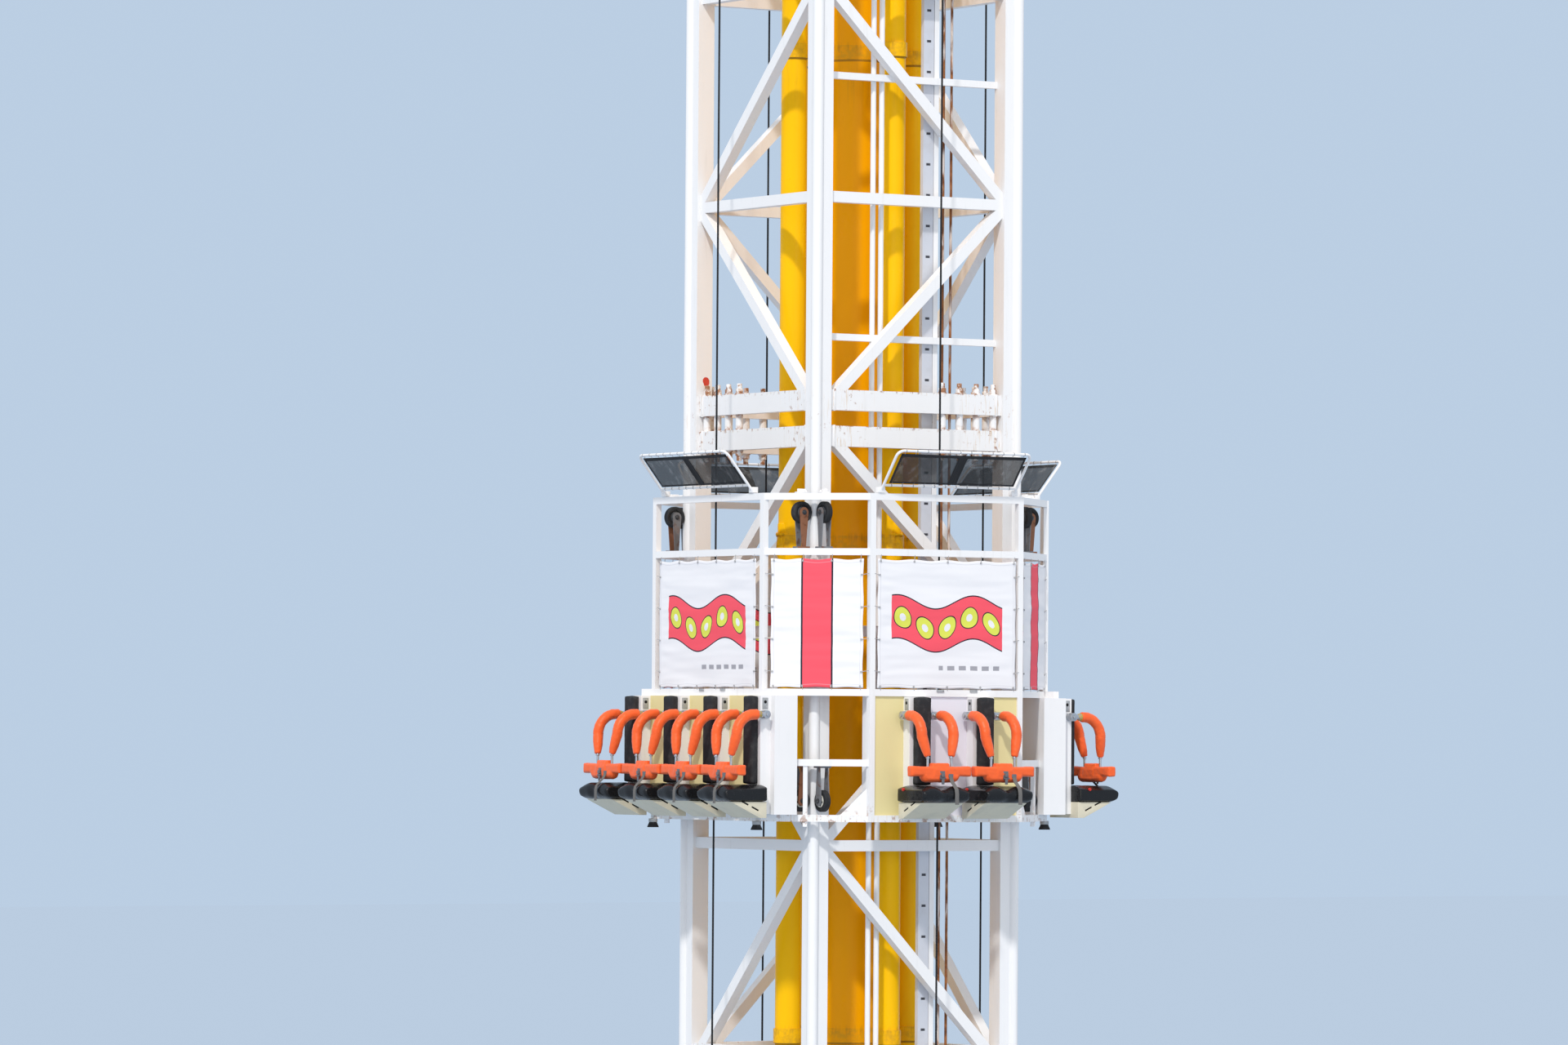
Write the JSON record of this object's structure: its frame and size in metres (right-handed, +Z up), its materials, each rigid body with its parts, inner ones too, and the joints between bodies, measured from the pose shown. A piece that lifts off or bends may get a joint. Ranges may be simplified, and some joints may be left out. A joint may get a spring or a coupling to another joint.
{
  "type": "drop tower ride",
  "caption": "Square lattice drop tower with inner launch cylinders and an octagonal seat carriage that slides on corner tubes, with lap harnesses.",
  "frame": {"origin": "tower axis on the ground, at the middle of the footprint", "axes": "+Z up along the tower; +X to the right along the front face; -Y out of the front face"},
  "size_m": [3.7996, 3.7996, 11.99],
  "materials": {
    "tower_white": "gloss white paint, weathered, with rust at the joints",
    "cylinder_yellow": "gloss yellow paint",
    "carriage_white": "white paint with grime at the welds",
    "bench_white": "white painted sheet",
    "panel_yellow": "pale yellow sheet",
    "black_pad": "black moulded foam",
    "harness_orange": "orange padded vinyl over steel",
    "wedge_beige": "beige moulding",
    "fork_steel": "grey paint with rust",
    "black_rubber": "matt rubber",
    "screen_mesh": "dark mesh in a white tube frame",
    "banner_cloth": "white printed cloth",
    "tray_grey": "galvanised grey",
    "rusty_rods": "rusted steel",
    "rusty_bolts": "white paint over rusted steel",
    "machine_steel": "grey machine paint",
    "wire_rope": "greased black wire rope"
  },
  "bodies": {
    "tower": {"base_plates": "tower_white", "legs_lower": "tower_white", "legs_upper": "tower_white", "ring_beams": "tower_white", "joint_sleeves": "rusty_bolts", "lattice_front": "tower_white", "lattice_back": "tower_white", "lattice_left": "tower_white", "lattice_right": "tower_white", "pipe_rails": "tower_white", "conduits": "tower_white", "cable_tray": "tray_grey", "thin_rods": "rusty_rods", "reservoir": "cylinder_yellow", "launch_cylinders": "cylinder_yellow", "cylinder_arms": "tower_white", "head_grillage": "tower_white", "head_bearings": "machine_steel", "head_sheaves": "machine_steel", "foot_bearings": "machine_steel", "foot_sheaves": "machine_steel", "hoist_ropes": "wire_rope", "rope_bends": "wire_rope"},
    "carriage": {"frame_front": "carriage_white", "frame_back": "carriage_white", "frame_left": "carriage_white", "frame_right": "carriage_white", "corner_frames": "carriage_white", "wheel_forks": "fork_steel", "guide_wheels": "black_rubber", "buffers": "black_rubber", "bench_front": "bench_white", "bench_back": "bench_white", "bench_left": "bench_white", "bench_right": "bench_white", "seat_panels": "panel_yellow", "seat_columns": "bench_white", "back_pads": "black_pad", "seat_pans": "black_pad", "seat_wedges": "wedge_beige", "screens": "screen_mesh", "banners": "banner_cloth"},
    "harness_front_1": {"harness_front_1": "harness_orange"},
    "harness_front_2": {"harness_front_2": "harness_orange"},
    "harness_back_1": {"harness_back_1": "harness_orange"},
    "harness_back_2": {"harness_back_2": "harness_orange"},
    "harness_left_1": {"harness_left_1": "harness_orange"},
    "harness_left_2": {"harness_left_2": "harness_orange"},
    "harness_left_3": {"harness_left_3": "harness_orange"},
    "harness_left_4": {"harness_left_4": "harness_orange"},
    "harness_right_1": {"harness_right_1": "harness_orange"},
    "harness_right_2": {"harness_right_2": "harness_orange"},
    "harness_right_3": {"harness_right_3": "harness_orange"},
    "harness_right_4": {"harness_right_4": "harness_orange"}
  },
  "joints": [
    {"name": "carriage_slide", "type": "slide", "parent": "tower", "child": "carriage", "axis": [0, 0, 1], "range_m": [-1.9, 5.3]},
    {"name": "harness_front_1_swing", "type": "hinge", "parent": "carriage", "child": "harness_front_1", "pos_m": [-0.3035, -1.48, 3.6575], "axis": [-1, 0, 0], "range_deg": [0, 90]},
    {"name": "harness_front_2_swing", "type": "hinge", "parent": "carriage", "child": "harness_front_2", "pos_m": [0.3035, -1.48, 3.6575], "axis": [-1, 0, 0], "range_deg": [0, 90]},
    {"name": "harness_back_1_swing", "type": "hinge", "parent": "carriage", "child": "harness_back_1", "pos_m": [0.3035, 1.48, 3.6575], "axis": [1, 0, 0], "range_deg": [0, 90]},
    {"name": "harness_back_2_swing", "type": "hinge", "parent": "carriage", "child": "harness_back_2", "pos_m": [-0.3035, 1.48, 3.6575], "axis": [1, 0, 0], "range_deg": [0, 90]},
    {"name": "harness_left_1_swing", "type": "hinge", "parent": "carriage", "child": "harness_left_1", "pos_m": [-1.48, 0.9105, 3.6575], "axis": [0, 1, 0], "range_deg": [0, 90]},
    {"name": "harness_left_2_swing", "type": "hinge", "parent": "carriage", "child": "harness_left_2", "pos_m": [-1.48, 0.3035, 3.6575], "axis": [0, 1, 0], "range_deg": [0, 90]},
    {"name": "harness_left_3_swing", "type": "hinge", "parent": "carriage", "child": "harness_left_3", "pos_m": [-1.48, -0.3035, 3.6575], "axis": [0, 1, 0], "range_deg": [0, 90]},
    {"name": "harness_left_4_swing", "type": "hinge", "parent": "carriage", "child": "harness_left_4", "pos_m": [-1.48, -0.9105, 3.6575], "axis": [0, 1, 0], "range_deg": [0, 90]},
    {"name": "harness_right_1_swing", "type": "hinge", "parent": "carriage", "child": "harness_right_1", "pos_m": [1.48, -0.9105, 3.6575], "axis": [0, -1, 0], "range_deg": [0, 90]},
    {"name": "harness_right_2_swing", "type": "hinge", "parent": "carriage", "child": "harness_right_2", "pos_m": [1.48, -0.3035, 3.6575], "axis": [0, -1, 0], "range_deg": [0, 90]},
    {"name": "harness_right_3_swing", "type": "hinge", "parent": "carriage", "child": "harness_right_3", "pos_m": [1.48, 0.3035, 3.6575], "axis": [0, -1, 0], "range_deg": [0, 90]},
    {"name": "harness_right_4_swing", "type": "hinge", "parent": "carriage", "child": "harness_right_4", "pos_m": [1.48, 0.9105, 3.6575], "axis": [0, -1, 0], "range_deg": [0, 90]}
  ]
}
